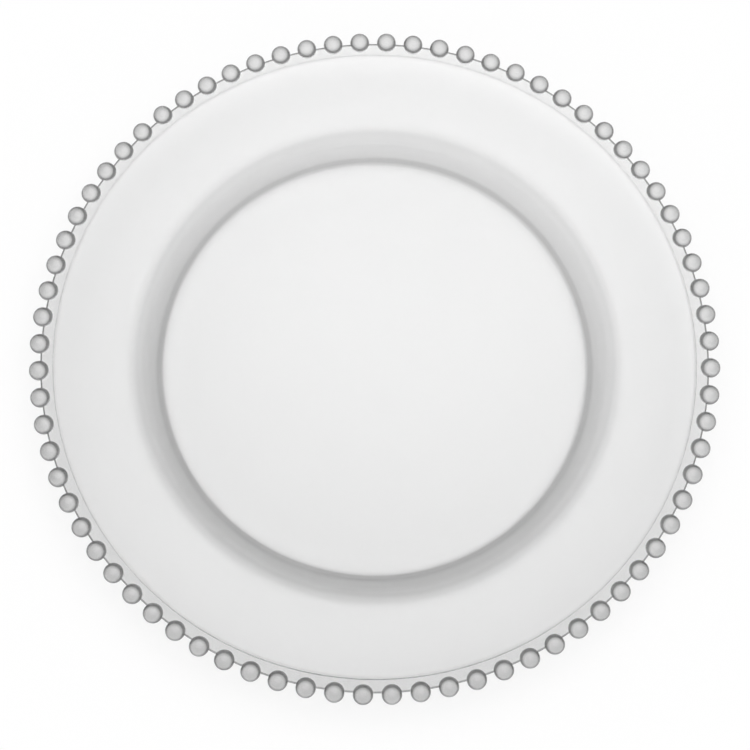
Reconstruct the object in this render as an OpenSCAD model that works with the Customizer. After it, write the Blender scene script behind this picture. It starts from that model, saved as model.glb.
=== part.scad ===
// Round glass charger plate: a dish with a flat well and a rising flange,
// a thin strip let into the flange's edge, and a ring of glass beads seated in the strip.
// The plate stands on z = 0 and turns about the z axis.

/* [Well] */
// Radius at which the well's floor would meet the wall
well_r = 103; // [95:0.5:110]
// Thickness of the floor over the foot
floor_t = 4; // [3:0.1:5]
// Radius of the round between floor and wall
well_round = 4; // [3:0.5:8]

/* [Wall] */
// Level distance between the wall's lower and upper ends
wall_run = 10; // [8:0.5:12]
// Thickness of the wall, measured level
wall_t = 4.2; // [3:0.1:5]
// Radius of the round between wall and flange, on the upper side
wall_top_round = 8; // [4:0.5:9]
// Radius of the round between wall and flange, on the under side
under_round = 11; // [6:0.5:12]

/* [Flange] */
// Level width of the flange, from the wall to its outer edge
flange_w = 40.2; // [34:0.2:46]
// How far the flange's top rises over that width
flange_rise = 5.4; // [4:0.1:7]
// Thickness of the flange at its bend, measured upright
flange_t = 3.8; // [3:0.1:4.5]
// Share of the flange's width at which it bends gently upwards
bend_width_share = 0.5; // [0.4:0.05:0.6]
// Share of the flange's rise that is reached at the bend
bend_rise_share = 0.31; // [0.2:0.01:0.45]
// Share of the room beside the bend that its arc takes up
bend_arc_share = 0.85; // [0.3:0.05:0.85]
// Radius of the round on the flange's top edge
rim_round = 1.8; // [0.8:0.1:2]

/* [Foot] */
// Radius of the round between the foot and the wall
foot_round = 6; // [2:0.5:7]
// Width of the flat ring that the plate stands on
foot_w = 12; // [6:1:20]
// Depth of the hollow inside the foot
foot_hollow = 0.5; // [0.2:0.1:1]
// Width of the slope between the foot and the hollow
hollow_slope_w = 6; // [2:1:12]

/* [Beads] */
// Diameter of one bead
bead_d = 9.4; // [7:0.1:10.5]
// Number of beads in the ring
bead_count = 76; // [60:2:80]
// Height of the bead centres above the table
bead_z = 22; // [19:0.5:25]
// Level distance from the flange's edge to the bead centres
bead_offset = 6.8; // [5.6:0.1:9]
// How far the flange's edge stands above the bead centres
rim_lift = 3.6; // [2.6:0.1:4.6]

/* [Strip] */
// Thickness of the strip that carries the beads
strip_t = 2.2; // [1.6:0.1:3]
// How far the strip's round outer edge stays inside the bead centres
strip_setback = 0.6; // [0:0.1:1.5]
// Length of the tongue on the strip's inner edge
tongue_l = 1; // [0.6:0.1:2]
// Thickness of the tongue
tongue_t = 1; // [0.6:0.1:1.3]

/* [Bonds] */
// Gap for the bond between glued faces
bond = 0.1; // [0.05:0.05:0.2]

/* [Hidden] */
$fn = 96;

// Straight pieces in each rounded corner of an outline
arc_steps = 24;
// How far a cut runs past the face that it opens
overrun = 1;

// Corners of the dish's outline on its upper side, as [radius, height]
well_corner = [well_r, floor_t];
rim_top = [well_r + wall_run + flange_w, bead_z + rim_lift];
wall_top = rim_top - [flange_w, flange_rise];
bend = wall_top + [flange_w * bend_width_share, flange_rise * bend_rise_share];

// The strip's section, and the groove that takes its tongue with a bond gap all round
rim_r = rim_top.x;
bead_r = bead_d / 2;
bead_circle_r = rim_r + bead_offset;
bead_step = 360 / bead_count;
strip_bottom = bead_z - strip_t / 2;
strip_inner_r = rim_r + bond;
strip_round_r = bead_circle_r - strip_setback - strip_t / 2;
groove_l = tongue_l + bond;
groove_t = tongue_t + 2 * bond;

// Corners of the dish's outline on its under side, which runs alongside the upper one
rim_bottom = [rim_r, strip_bottom];
under_bend = bend - [0, flange_t];
wall_slope = wall_top - well_corner;
wall_foot = well_corner + [wall_t, 0];
under_wall_top = meet(wall_foot, wall_slope, under_bend, bend - wall_top);
foot_corner = meet(wall_foot, wall_slope, [0, 0], [well_r, 0]);
foot_outer_r = foot_corner.x - reach([0, 0], foot_corner, under_wall_top, foot_round);
foot_inner_r = foot_outer_r - foot_w;
hollow_r = foot_inner_r - hollow_slope_w;

// Length left beside the bend by the rounds at the wall, above and below
room_above = norm(bend - wall_top) - reach(well_corner, wall_top, bend, wall_top_round);
room_below = norm(under_bend - under_wall_top)
    - reach(foot_corner, under_wall_top, under_bend, under_round);

function unit(v) = v / norm(v);

// Point where the line through p along d crosses the line through q along e
function meet(p, d, q, e) = p + d * cross(q - p, e) / cross(d, e);

// Half the angle at corner b, between its neighbours a and c
function half_angle(a, b, c) = acos(unit(a - b) * unit(c - b)) / 2;

// Distance from corner b to where a round of radius r starts
function reach(a, b, c, r) = r / tan(half_angle(a, b, c));

// Radius of the round at corner b that takes up a share of the room beside it
function share_round(a, b, c, room) =
    bend_arc_share * min(norm(a - b), norm(c - b), room) * tan(half_angle(a, b, c));

// Points of the arc of radius r that rounds corner b, between its neighbours a and c
function rounded(a, b, c, r) =
    let (
        half = half_angle(a, b, c),
        centre = b + unit(unit(a - b) + unit(c - b)) * r / sin(half),
        out = b + unit(a - b) * reach(a, b, c, r) - centre,
        start = atan2(out.y, out.x),
        sweep = sign(cross(b - a, c - b)) * (180 - 2 * half)
    )
    [for (i = [0 : arc_steps])
        let (angle = start + sweep * i / arc_steps)
        centre + r * [cos(angle), sin(angle)]];

// Outline of the dish from the axis out along its top and back along its under side
dish_outline = concat(
    [[0, floor_t]],
    rounded([0, floor_t], well_corner, wall_top, well_round),
    rounded(well_corner, wall_top, bend, wall_top_round),
    rounded(wall_top, bend, rim_top, share_round(wall_top, bend, rim_top, room_above)),
    rounded(bend, rim_top, rim_bottom, rim_round),
    [rim_bottom],
    rounded(rim_bottom, under_bend, under_wall_top,
        share_round(rim_bottom, under_bend, under_wall_top, room_below)),
    rounded(under_bend, under_wall_top, foot_corner, under_round),
    rounded(under_wall_top, foot_corner, [0, 0], foot_round),
    [[foot_inner_r, 0], [hollow_r, foot_hollow], [0, foot_hollow]]
);

// Outline of a level tongue that ends at radius outer_r
module tongue_outline(outer_r, length, thickness) {
    translate([outer_r - length, bead_z - thickness / 2])
        square([length, thickness]);
}

// Glass dish: the well's floor, the wall, the flange and the foot in one turned shape
module dish() {
    color([0.86, 0.89, 0.89, 0.45])
        difference() {
            rotate_extrude() polygon(dish_outline);
            rotate_extrude()
                tongue_outline(rim_r + overrun, groove_l + overrun, groove_t);
        }
}

// Place of each bead on the bead circle
module at_beads() {
    for (i = [0 : bead_count - 1])
        rotate(i * bead_step)
            translate([bead_circle_r, 0, bead_z])
                children();
}

// Thin glass strip round the flange, with a round outer edge and a seat for each bead
module bead_strip() {
    color([0.82, 0.86, 0.86, 0.45])
        difference() {
            rotate_extrude() {
                tongue_outline(strip_inner_r, tongue_l, tongue_t);
                translate([strip_inner_r, strip_bottom])
                    square([strip_round_r - strip_inner_r, strip_t]);
                translate([strip_round_r, bead_z])
                    circle(d = strip_t);
            }
            at_beads() sphere(r = bead_r + bond);
        }
}

// Ring of glass beads, each one a ball in its own seat
module rim_beads() {
    color([0.74, 0.78, 0.79, 0.6])
        at_beads() sphere(d = bead_d);
}

dish();
bead_strip();
rim_beads();
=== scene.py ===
# %% [markdown]
# # A glass charger plate with a beaded rim
#
# A charger plate stands under a dinner plate for the whole meal. This one is clear pressed glass:
# a dish with a flat well, a thin strip round its edge, and a ring of glass beads in that strip.
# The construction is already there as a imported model, so this lesson only makes the looks. It
# starts by loading the model, and every size of the plate below is measured on it.

import math

import bpy
import numpy as np
from mathutils import Matrix, Vector


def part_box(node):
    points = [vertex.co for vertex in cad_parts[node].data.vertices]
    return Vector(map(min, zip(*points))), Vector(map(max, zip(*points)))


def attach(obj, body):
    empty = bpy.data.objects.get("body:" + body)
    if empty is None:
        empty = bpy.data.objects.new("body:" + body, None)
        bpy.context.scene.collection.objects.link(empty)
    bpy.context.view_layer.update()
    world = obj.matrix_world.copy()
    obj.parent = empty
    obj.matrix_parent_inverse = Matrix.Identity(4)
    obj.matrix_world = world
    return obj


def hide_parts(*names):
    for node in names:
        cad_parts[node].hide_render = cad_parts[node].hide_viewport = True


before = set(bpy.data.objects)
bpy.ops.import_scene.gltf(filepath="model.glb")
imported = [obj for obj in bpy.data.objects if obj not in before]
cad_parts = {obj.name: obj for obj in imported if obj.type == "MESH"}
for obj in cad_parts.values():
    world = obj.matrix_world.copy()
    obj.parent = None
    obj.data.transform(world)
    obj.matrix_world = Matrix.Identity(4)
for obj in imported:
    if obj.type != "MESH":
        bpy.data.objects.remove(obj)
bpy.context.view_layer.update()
print("nodes:", sorted(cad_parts))

# %% [markdown]
# ## From numbers to meshes
#
# Every piece here is a surface on a grid: rings that follow each other, each with the same number
# of points. Blender wants a list of corners and a list of faces that name their corners by number.
# Whole numpy arrays give both at once, so no Python loop ever visits a single corner.

# %% Helpers that turn grids of points into meshes
MM = 0.001


def bell(distance, width):
    """A smooth hump that is 1 at no distance and has all but faded at three widths."""
    return np.exp(-0.5 * (distance / width) ** 2)


def turned_shape(outline, steps):
    """Corners and faces of an outline turned about the z axis.

    The outline is rows of (radius, height) that start and end on the axis. Each row between the
    ends becomes a ring: x = radius * cos(turn), y = radius * sin(turn), z = height. Four-sided
    faces join one ring to the next, and a fan of triangles closes each end on a single corner.
    """
    turn = np.linspace(0, 2 * np.pi, steps, endpoint=False)
    radius, height = outline[1:-1, 0, None], outline[1:-1, 1, None]
    rings = np.stack(np.broadcast_arrays(
        radius * np.cos(turn), radius * np.sin(turn), height), axis=-1).reshape(-1, 3)
    ends = np.array([[0, 0, outline[0, 1]], [0, 0, outline[-1, 1]]])
    number = np.arange(len(rings)).reshape(-1, steps)
    following = np.roll(number, -1, axis=1)
    quads = np.stack(
        [number[:-1], number[1:], following[1:], following[:-1]], axis=-1).reshape(-1, 4)
    first = np.full(steps, len(rings))
    fans = np.concatenate([
        np.stack([first, number[0], following[0]], axis=-1),
        np.stack([first + 1, following[-1], number[-1]], axis=-1)])
    return np.concatenate([rings, ends]), quads, fans


def make_piece(name, corners, *face_groups, shade=0, sharp_angle=None):
    """A smooth-shaded mesh object at the origin, with its place in its corners.

    The painted shade of each corner is kept on the mesh as a named number that the material can read.
    """
    faces = [face for group in face_groups for face in group.tolist()]
    mesh = bpy.data.meshes.new(name)
    mesh.from_pydata(corners.tolist(), [], faces)
    mesh.shade_smooth()
    shades = np.broadcast_to(np.float32(shade), len(corners))
    mesh.attributes.new("shade", "FLOAT", "POINT").data.foreach_set("value", shades)
    if sharp_angle is not None:
        mesh.set_sharp_from_angle(angle=sharp_angle)
    piece = bpy.data.objects.new(name, mesh)
    bpy.context.scene.collection.objects.link(piece)
    print(name, "has", len(mesh.vertices), "corners and", len(mesh.polygons), "faces")
    return piece


# %% [markdown]
# ## The dish's outline
#
# A pressed plate is the same all the way round, so its whole shape is one outline. A gauge reads it
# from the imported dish: a thin probe comes down from above, and another comes up from below, at each
# of many radii along the x axis. The real plate is fire polished, which melts its skin for a moment
# and rounds every edge a little. A short moving average along the outline does the same to the
# readings.

# %% Gauge and polish the outline
dish_low, dish_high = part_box("dish")
rim_radius = dish_high.x
gauge_step = 0.1 * MM
polish_radius = 0.5 * MM


def gauge(node, radii, direction):
    """Height at which an upright probe along the x axis meets a node, at each radius."""
    start = dish_high.z + MM if direction < 0 else dish_low.z - MM
    slight_turn = 1e-5
    hits = [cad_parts[node].ray_cast((r, r * slight_turn, start), (0, 0, direction))
            for r in radii]
    return np.array([place.z for found, place, normal, face in hits])


def polished(outline, radius, step):
    """The outline at even steps, averaged along its length with a bell-shaped weight.

    The bell's width is radius. Beyond the axis the outline goes on as its own mirror image, so the
    average stays level there.
    """
    length = np.append(0, np.cumsum(np.hypot(*np.diff(outline, axis=0).T)))
    even = np.linspace(0, length[-1], round(length[-1] / step) + 1)
    points = np.column_stack([np.interp(even, length, column) for column in outline.T])
    reach = math.ceil(4 * radius / step)
    mirrored = [-1, 1]
    padded = np.concatenate([
        points[reach:0:-1] * mirrored, points, points[-2:-reach - 2:-1] * mirrored])
    weight = bell(np.arange(-reach, reach + 1) * step, radius)
    return np.column_stack(
        [np.convolve(column, weight / weight.sum(), mode="valid") for column in padded.T])


probe_radii = np.linspace(0, rim_radius - 0.01 * MM, round(rim_radius / gauge_step))
top_side = np.column_stack([probe_radii, gauge("dish", probe_radii, -1)])
under_side = np.column_stack([probe_radii, gauge("dish", probe_radii, 1)])
dish_outline = polished(np.concatenate([top_side, under_side[::-1]]), polish_radius, gauge_step)
print("outline of", len(dish_outline), "points, rim at", round(rim_radius / MM, 2), "mm")

# %% [markdown]
# ## The rings of the dish
#
# Turning the outline about the plate's axis gives the dish. Even rings would waste thousands of
# faces on the flat well and still leave corners on the tight rounds, which glass shows at once
# because it bends what is behind it. So the rings are dealt out by two rules added together: one
# for each few millimetres of length, and one for each few degrees that the outline turns. They lie
# closer still at the corner of the well, because a fine line of painted shade is laid there in the
# next step.

# %% Deal out the rings
ring_gap = 4 * MM
ring_turn = math.radians(3)
corner_rise = 1.8 * MM
corner_width = 0.7 * MM
corner_zone = 2.8 * MM
corner_gap = 0.35 * MM


def dealt_out(outline, gap, turn):
    """Rows of the outline, one for each gap of length plus one for each turn of direction.

    The gap is one length, or an array with a length for each step of the outline.
    """
    steps = np.diff(outline, axis=0)
    heading = np.unwrap(np.arctan2(steps[:, 1], steps[:, 0]))
    turning = np.append(0, np.abs(np.diff(heading)))
    score = np.append(0, np.cumsum(np.hypot(*steps.T) / gap + turning / turn))
    wanted = np.linspace(0, score[-1], round(score[-1]) + 1)
    return np.column_stack([np.interp(wanted, score, column) for column in outline.T])


def on_top(outline):
    """True for the rows of an outline that come before its widest row."""
    return np.arange(len(outline)) < outline[:, 0].argmax()


corner_radius = top_side[np.argmax(top_side[:, 1] > top_side[0, 1] + corner_rise), 0]
near_corner = on_top(dish_outline) & (np.abs(dish_outline[:, 0] - corner_radius) < corner_zone)
gaps = np.where(near_corner, corner_gap, ring_gap)[:-1]
dish_rings = dealt_out(dish_outline, gaps, ring_turn)
dish_rings[[0, -1], 0] = 0
print(len(dish_rings), "rings, corner of the well at", round(corner_radius / MM, 1), "mm")

# %% [markdown]
# ## The dish, with its painted shade
#
# Thick clear glass throws light aside where it bends, so the corner of the well shows as a soft
# dark line. The render makes part of that line itself, and the rest is painted shade. A material
# can't see how light runs inside the glass, but a mesh can carry a number for each of its corners,
# and the material can read it. Here the number is a bell-shaped hump of painted shade at the well's
# corner. It is less than nothing at the rim, where the painted darkening of the edge is taken off
# so that the edge stays clear.

# %% Turn the rings into the dish
dish_steps = 360
# painted shade: a dark line laid at the well's corner, and less than none at the rim
painted_corner_shade = 0.8
painted_rim_shade = -0.5

ring_shade = (
    painted_corner_shade * bell(dish_rings[:, 0] - corner_radius, corner_width) * on_top(dish_rings)
    + painted_rim_shade * bell(dish_rings[:, 0] - rim_radius, corner_width))
dish_shade = np.append(np.repeat(ring_shade[1:-1], dish_steps), [0, 0])
dish = make_piece("glass_dish", *turned_shape(dish_rings, dish_steps), shade=dish_shade)
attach(dish, "root")
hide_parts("dish")

# %% [markdown]
# ## The beads
#
# The beads are little balls that sit in the strip, half in and half out. One ball is a half circle
# turned about its own axis. Adding the place of every bead to its corners in one sum makes the
# whole ring. The top of each ball in the imported model tells where the beads are. Each bead is
# painted darker on the side towards the plate's axis, as painted shade for the dark crescent that
# bent light leaves there, so its shade is the cosine of the angle between the skin's own direction
# and the way to the plate's axis.

# %% Make the ring of beads
bead_low, bead_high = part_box("rim_beads")
bead_radius = (bead_high.z - bead_low.z) / 2
bead_height = (bead_high.z + bead_low.z) / 2
bead_rings = 20
bead_steps = 40
# painted shade: how much darker each bead is painted on its side towards the plate
painted_crescent_shade = 0.25


def node_corners(node):
    """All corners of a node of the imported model, as rows of x, y, z."""
    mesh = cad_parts[node].data
    corners = np.empty(3 * len(mesh.vertices))
    mesh.vertices.foreach_get("co", corners)
    return corners.reshape(-1, 3)


def bead_places():
    """Centre of each bead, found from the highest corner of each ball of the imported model."""
    corners = node_corners("rim_beads")
    tops = corners[corners[:, 2] > bead_high.z - 0.001 * MM]
    places = np.unique(np.round(tops[:, :2] / MM, 2), axis=0) * MM
    return np.column_stack([places, np.full(len(places), bead_height)])


slope = np.linspace(0, np.pi, bead_rings + 1)
half_circle = bead_radius * np.column_stack([np.sin(slope), np.cos(slope)])
ball, ball_quads, ball_fans = turned_shape(half_circle, bead_steps)
places = bead_places()
bead_circle = np.hypot(places[:, 0], places[:, 1]).mean()
inward = -places / bead_circle * [1, 1, 0]
bead_shade = painted_crescent_shade * (inward @ (ball / bead_radius).T)
first_corner = len(ball) * np.arange(len(places))[:, None, None]
beads = make_piece(
    "glass_beads",
    (places[:, None, :] + ball).reshape(-1, 3),
    (first_corner + ball_quads).reshape(-1, 4),
    (first_corner + ball_fans).reshape(-1, 3),
    shade=bead_shade.reshape(-1))
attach(beads, "root")
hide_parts("rim_beads")
print(len(places), "beads on a circle of", round(bead_circle / MM, 2), "mm radius")

# %% [markdown]
# ## The edge of the strip
#
# The strip is a flat ring with a round outer edge, and each bead sits in a hollow in that edge.
# Seen along the plate's radius, the edge has one reach for each direction and each height, so it is
# a grid too. The reach is the lesser of two: the round edge itself, and the near side of the ball
# that cuts the seat. More directions are dealt to the sides of a seat, where the reach changes
# fastest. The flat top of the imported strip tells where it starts, just outside the dish.

# %% Work out the strip's edge
strip_low, strip_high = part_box("bead_strip")
strip_half = (strip_high.z - strip_low.z) / 2
strip_round = strip_high.x - strip_half
strip_corners = node_corners("bead_strip")
strip_top = strip_corners[strip_corners[:, 2] > strip_high.z - 0.001 * MM]
strip_inner = np.hypot(strip_top[:, 0], strip_top[:, 1]).min()
bond = strip_inner - rim_radius
seat_radius = bead_radius + bond
seat_columns = 32
link_columns = 8
edge_rows = 13


def strip_directions():
    """Turn of each column of the strip within one bead's stretch, from the bead's own direction.

    In the seat the sideways distance goes as a sine, so that columns crowd at its sides. From there
    to halfway to the next bead they are even.
    """
    side = math.asin(seat_radius / bead_circle)
    seat = np.arcsin(np.sin(np.linspace(-np.pi / 2, np.pi / 2, seat_columns)) * math.sin(side))
    link = np.linspace(side, 2 * np.pi / len(places) - side, link_columns + 1)[1:-1]
    return np.append(seat, link)


def edge_reach(turn, height):
    """Radius of the strip's edge at each turn from a bead and each height from the strip's middle.

    The round edge reaches strip_round + sqrt(half * half - height * height). The seat's ball, cut
    at that height, has its near side at b * cos(turn) - sqrt(a * a - (b * sin(turn)) ** 2), where b
    is the bead circle's radius and a is the ball's radius at that height.
    """
    round_edge = strip_round + np.sqrt(np.clip(strip_half ** 2 - height ** 2, 0, None))
    inside = seat_radius ** 2 - height ** 2 - (bead_circle * np.sin(turn)) ** 2
    seat = bead_circle * np.cos(turn) - np.sqrt(np.clip(inside, 0, None))
    return np.where(inside > 0, np.minimum(round_edge, seat), round_edge)


turn = strip_directions()
height = strip_half * np.cos(np.linspace(0, np.pi, edge_rows))
edge = edge_reach(turn[:, None], height[None, :])
print("bond gap of", round(bond / MM, 3), "mm, edge of", edge.shape, "points for each bead")

# %% [markdown]
# ## The strip
#
# Each direction now gets a closed section: two corners on the inside, then the rows of the edge.
# The sections of one bead's stretch are repeated for every bead, and faces join each corner to the
# next one along its section and to the same one in the next section. The round edge carries painted
# shade, which makes the thin grey links between the beads, and on the inner side the painted
# darkening of the edges is taken off so that it stays clear.

# %% Make the strip with a seat for each bead
# painted shade on the strip's round edge, which gives the grey links between the beads
painted_edge_shade = 0.5
crease = math.radians(30)

inner = np.full((len(turn), 2), strip_inner)
section_radius = np.concatenate([inner, edge], axis=1)
section_height = np.concatenate([[-strip_half, strip_half], height])
bead_turn = np.sort(np.arctan2(places[:, 1], places[:, 0]))
all_turns = (bead_turn[:, None] + turn).reshape(-1, 1)
radius = np.tile(section_radius, (len(places), 1))
strip_grid = np.stack(np.broadcast_arrays(
    radius * np.cos(all_turns), radius * np.sin(all_turns), bead_height + section_height), axis=-1)
number = np.arange(strip_grid.shape[0] * strip_grid.shape[1]).reshape(strip_grid.shape[:2])
across = np.roll(number, -1, axis=1)
ahead = np.roll(number, -1, axis=0)
strip_quads = np.stack([number, across, np.roll(across, -1, axis=0), ahead], axis=-1).reshape(-1, 4)
section_shade = np.full(len(section_height), painted_edge_shade)
section_shade[:2] = painted_rim_shade
section_shade[[2, -1]] = 0  # the edge's first and last rows also belong to the flat faces
strip = make_piece(
    "glass_strip", strip_grid.reshape(-1, 3), strip_quads,
    shade=np.tile(section_shade, len(all_turns)), sharp_angle=crease)
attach(strip, "root")
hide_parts("bead_strip")

# %% [markdown]
# ## Two effects that all the glass shares
#
# Pressing leaves a skin that is slightly wavy, and handling leaves faint patches that are a little
# less glossy. Each effect is built once as a node group, and every glass below places it with its
# own values. A small function adds a node with its settings, and sets or links its inputs.

# %% Node groups for the wavy skin and the handling marks
def add_node(tree, kind, inputs=(), **settings):
    """A new node in a tree, with its settings, and with a value or a link for each input given."""
    node = tree.nodes.new(kind)
    for name, value in settings.items():
        setattr(node, name, value)
    for socket, value in dict(inputs).items():
        if isinstance(value, bpy.types.NodeSocket):
            tree.links.new(value, node.inputs[socket])
        else:
            node.inputs[socket].default_value = value
    return node


def new_group(name, inputs, output):
    """A shader node group with number inputs and one number output, and its input node."""
    group = bpy.data.node_groups.new(name, "ShaderNodeTree")
    for socket in inputs:
        group.interface.new_socket(socket, in_out="INPUT", socket_type="NodeSocketFloat")
    group.interface.new_socket(output, in_out="OUTPUT", socket_type="NodeSocketFloat")
    return group, add_node(group, "NodeGroupInput")


def wavy_skin():
    """Height between 0 and 1 that swells and sinks slowly over the piece."""
    group, given = new_group("wavy_skin", ["Waves per Metre"], "Height")
    place = add_node(group, "ShaderNodeTexCoord")
    swell = add_node(group, "ShaderNodeTexNoise", {
        "Vector": place.outputs["Object"], "Scale": given.outputs["Waves per Metre"],
        "Detail": 1.0, "Roughness": 0.4})
    add_node(group, "NodeGroupOutput", {"Height": swell.outputs["Fac"]})
    return group


def handling_marks():
    """Roughness that is at its least nearly everywhere and rises to its most in a few patches."""
    patch_start, patch_full = 0.5, 0.75
    group, given = new_group(
        "handling_marks", ["Patches per Metre", "Least", "Most"], "Roughness")
    place = add_node(group, "ShaderNodeTexCoord")
    patches = add_node(group, "ShaderNodeTexNoise", {
        "Vector": place.outputs["Object"], "Scale": given.outputs["Patches per Metre"],
        "Detail": 3.0, "Roughness": 0.6})
    spread = add_node(group, "ShaderNodeMapRange", {
        "Value": patches.outputs["Fac"], "From Min": patch_start, "From Max": patch_full,
        "To Min": given.outputs["Least"], "To Max": given.outputs["Most"]})
    add_node(group, "NodeGroupOutput", {"Roughness": spread.outputs["Result"]})
    return group


skin_group = wavy_skin()
marks_group = handling_marks()
print("node groups:", skin_group.name, "and", marks_group.name)

# %% [markdown]
# ## Clear glass
#
# Clear glass has almost no colour of its own. What is seen is the table through it, and the light
# and the dark of the room, bent and mirrored. Where the skin turns away from the eye, the glass is
# tinted darker. A little of that is light lost on the long way through, and most of it is painted
# shade for the dark room and the shadowed table that the edges show. Layer Weight's Facing measures
# that turn, and the painted shade that each mesh carries is added to it.

# %% Make the three glasses
glass_ior = 1.5
patches_per_metre = 25
least_roughness, most_roughness = 0.0, 0.02


def glass(name, clear, edge, start, full, waves, wave_height):
    """Clear glass that goes from its clear tint to its darker edge tint as it turns away from the
    eye.

    The darker tint is painted shade. The tint is clear up to start, and has reached the edge's at
    full, on a scale of 0 for a skin that faces the eye and 1 for a skin seen edge on, with the mesh's
    own painted shade added.
    """
    material = bpy.data.materials.new(name)
    material.use_nodes = True
    tree = material.node_tree
    facing = add_node(tree, "ShaderNodeLayerWeight", {"Blend": 0.5})
    shade = add_node(tree, "ShaderNodeAttribute", attribute_name="shade")
    both = add_node(
        tree, "ShaderNodeMath", {0: facing.outputs["Facing"], 1: shade.outputs["Fac"]},
        operation="ADD")
    ramp = add_node(
        tree, "ShaderNodeMapRange",
        {"Value": both.outputs["Value"], "From Min": start, "From Max": full},
        interpolation_type="SMOOTHSTEP")
    # painted shade: the tint darkens as the skin turns away from the eye
    tint = add_node(
        tree, "ShaderNodeMix",
        {"Factor": ramp.outputs["Result"],
         "A": (clear, clear, clear, 1), "B": (edge, edge, edge, 1)},
        data_type="RGBA")
    skin = add_node(tree, "ShaderNodeGroup", node_tree=skin_group)
    skin.inputs["Waves per Metre"].default_value = waves
    bump = add_node(tree, "ShaderNodeBump", {
        "Height": skin.outputs["Height"], "Strength": 1, "Distance": wave_height})
    marks = add_node(tree, "ShaderNodeGroup", node_tree=marks_group)
    marks.inputs["Patches per Metre"].default_value = patches_per_metre
    marks.inputs["Least"].default_value = least_roughness
    marks.inputs["Most"].default_value = most_roughness
    shader = tree.nodes["Principled BSDF"]
    shader.inputs["Transmission Weight"].default_value = 1
    shader.inputs["IOR"].default_value = glass_ior
    tree.links.new(tint.outputs["Result"], shader.inputs["Base Color"])
    tree.links.new(marks.outputs["Roughness"], shader.inputs["Roughness"])
    tree.links.new(bump.outputs["Normal"], shader.inputs["Normal"])
    return material


# painted shade: the edge tints, and the darker clear tints of the strip and the beads, stand in for
# the dark room and shadowed table seen bent through the glass
dish.data.materials.append(glass(
    "clear_dish_glass", clear=0.985, edge=0.7, start=0.1, full=0.8, waves=40,
    wave_height=0.02 * MM))
strip.data.materials.append(glass(
    "clear_strip_glass", clear=0.87, edge=0.3, start=0.3, full=0.7, waves=120,
    wave_height=0.01 * MM))
beads.data.materials.append(glass(
    "clear_bead_glass", clear=0.77, edge=0.06, start=0.12, full=0.52, waves=350,
    wave_height=0.2 * MM))
print("glasses:", [piece.data.materials[0].name for piece in (dish, strip, beads)])

# %% [markdown]
# ## The table
#
# The plate stands on a wide sheet of white paper. Paper that is only lit would look grey next to
# clean white, so the camera sees most of it as a plain glow, and the plate's shadow stays in the
# rest. Seen through the glass, the paper also carries a painted pool of light: it glows most a little
# behind the middle of the plate, and the glow fades with the distance from there. The paper lies a
# hair below the foot, because two faces in the same place can't both be lit.

# %% Lay the paper
paper_half = 3.0
paper_gap = 0.05 * MM
paper_white = 0.95
camera_glow = 0.75
# a painted pool of light on the paper, seen through and in the glass
light_pool_middle = (0.02, 0.08, 0)
light_pool_inner, light_pool_outer = 0.04, 0.24
light_pool_glow = 0.38


def square(name, half, height):
    """A level square object, centred on the z axis."""
    mesh = bpy.data.meshes.new(name)
    corners = half * np.array([[-1, -1], [1, -1], [1, 1], [-1, 1]])
    mesh.from_pydata(np.column_stack([corners, np.full(4, height)]).tolist(), [], [(0, 1, 2, 3)])
    piece = bpy.data.objects.new(name, mesh)
    bpy.context.scene.collection.objects.link(piece)
    return piece


def paper_material(name):
    """White paper that is partly lit and partly glows, by the kind of ray that sees it, with a
    painted pool of light where it is seen through or in the glass.
    """
    material = bpy.data.materials.new(name)
    material.use_nodes = True
    tree = material.node_tree
    tree.nodes.clear()
    ray = add_node(tree, "ShaderNodeLightPath")
    place = add_node(tree, "ShaderNodeTexCoord")
    # painted pool of light: the glow for rays through the glass fades with the distance from its
    # middle
    away = add_node(
        tree, "ShaderNodeVectorMath", {0: place.outputs["Object"], 1: light_pool_middle},
        operation="DISTANCE")
    painted_light_pool = add_node(
        tree, "ShaderNodeMapRange",
        {"Value": away.outputs["Value"], "From Min": light_pool_inner, "From Max": light_pool_outer,
         "To Min": light_pool_glow, "To Max": 0},
        interpolation_type="SMOOTHSTEP")
    direct = add_node(
        tree, "ShaderNodeMath", {0: ray.outputs["Is Camera Ray"], 1: camera_glow},
        operation="MULTIPLY")
    through = add_node(
        tree, "ShaderNodeMath",
        {0: ray.outputs["Is Glossy Ray"], 1: ray.outputs["Is Transmission Ray"]},
        operation="MAXIMUM")
    share = add_node(
        tree, "ShaderNodeMath",
        {0: through.outputs["Value"], 1: painted_light_pool.outputs["Result"],
         2: direct.outputs["Value"]},
        operation="MULTIPLY_ADD")
    lit = add_node(tree, "ShaderNodeBsdfDiffuse", {"Color": (paper_white,) * 3 + (1,)})
    glow = add_node(tree, "ShaderNodeEmission")
    mix = add_node(tree, "ShaderNodeMixShader", {
        "Fac": share.outputs["Value"], 1: lit.outputs["BSDF"], 2: glow.outputs["Emission"]})
    add_node(tree, "ShaderNodeOutputMaterial", {"Surface": mix.outputs["Shader"]})
    return material


paper = square("paper", paper_half, -paper_gap)
paper.data.materials.append(paper_material("white_paper"))
print("paper of", 2 * paper_half, "m,", round(paper_gap / MM, 2), "mm below the foot")

# %% [markdown]
# ## The light
#
# Clear glass looks best under one broad, soft light from above. Here it is the world itself: a
# bright cap round the zenith that fades smoothly towards the walls of the room. The cosine of the
# angle between a direction and the middle of the cap is a dot product, and a smooth ramp turns it
# into strength. A broad cap leaves no hard edge in the mirror of the flange, and its shadow is a
# soft rim right below the beads.

# %% Make the soft light overhead
cap_middle = Vector((0.08, 0.15, 1)).normalized()
cap_bright, cap_end = math.radians(5), math.radians(50)
room_level, cap_level = 0.42, 2.4

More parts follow.
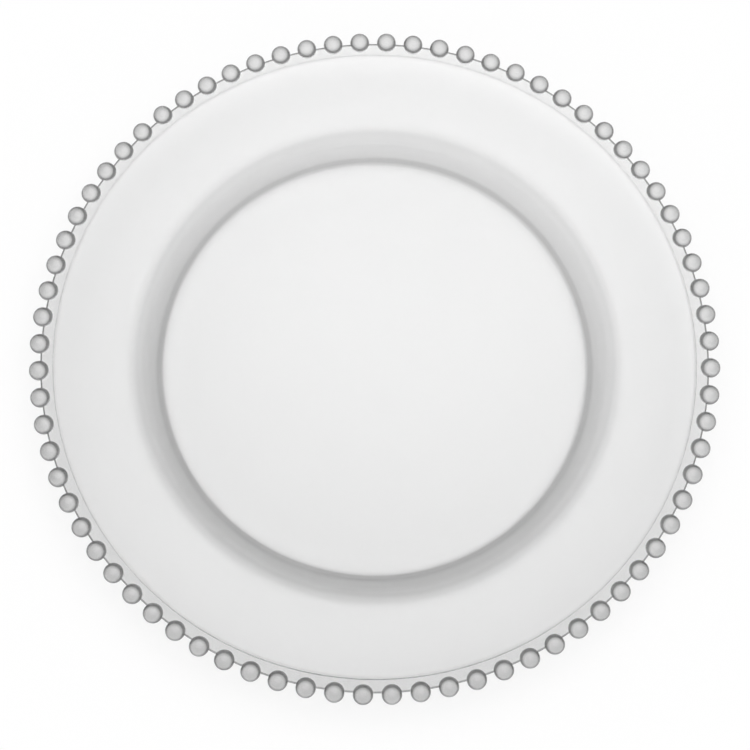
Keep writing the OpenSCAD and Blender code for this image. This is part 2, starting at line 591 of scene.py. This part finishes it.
world = bpy.data.worlds.new("studio")
bpy.context.scene.world = world
world.use_nodes = True
sky = world.node_tree
direction = add_node(sky, "ShaderNodeTexCoord")
closeness = add_node(
    sky, "ShaderNodeVectorMath", {0: direction.outputs["Generated"], 1: cap_middle},
    operation="DOT_PRODUCT")
level = add_node(
    sky, "ShaderNodeMapRange",
    {"Value": closeness.outputs["Value"],
     "From Min": math.cos(cap_end), "From Max": math.cos(cap_bright),
     "To Min": room_level, "To Max": cap_level},
    interpolation_type="SMOOTHSTEP")
background = sky.nodes["Background"]
background.inputs["Color"].default_value = (1, 1, 1, 1)
sky.links.new(level.outputs["Result"], background.inputs["Strength"])
print("light from", room_level, "at the walls to", cap_level, "overhead")

# %% [markdown]
# ## The camera
#
# The camera looks down from 76 degrees above the table, with a long lens from a little under a
# metre. These values were found by fitting a camera to the places of all the beads. It aims at a
# point at the beads' height, a little in front of the plate's middle.

# %% Place the camera
camera_elevation = math.radians(76.47)
camera_turn = math.radians(-0.30)
camera_roll = math.radians(2.36)
camera_distance = 0.9273
camera_aim = (0.0003, -0.0094)
camera_lens = 93.56
sensor_width = 36

camera_data = bpy.data.cameras.new("camera")
camera_data.lens = camera_lens
camera_data.sensor_width = sensor_width
camera = bpy.data.objects.new("camera", camera_data)
bpy.context.scene.collection.objects.link(camera)
bpy.context.scene.camera = camera
back = Vector((0, -math.cos(camera_elevation), math.sin(camera_elevation)))
right = Vector((1, 0, 0))
up = back.cross(right)
axes = Matrix((right, up, back)).transposed() @ Matrix.Rotation(camera_roll, 3, "Z")
place = Vector((*camera_aim, bead_height)) + back * camera_distance
camera.matrix_world = Matrix.Rotation(camera_turn, 4, "Z") @ Matrix.LocRotScale(place, axes, None)
print("camera", round(camera_distance, 3), "m from its aim, with a", camera_lens, "mm lens")

# %% [markdown]
# ## Finish
#
# The Standard view keeps white paper white.

# %% Finish
bpy.context.scene.view_settings.view_transform = "Standard"
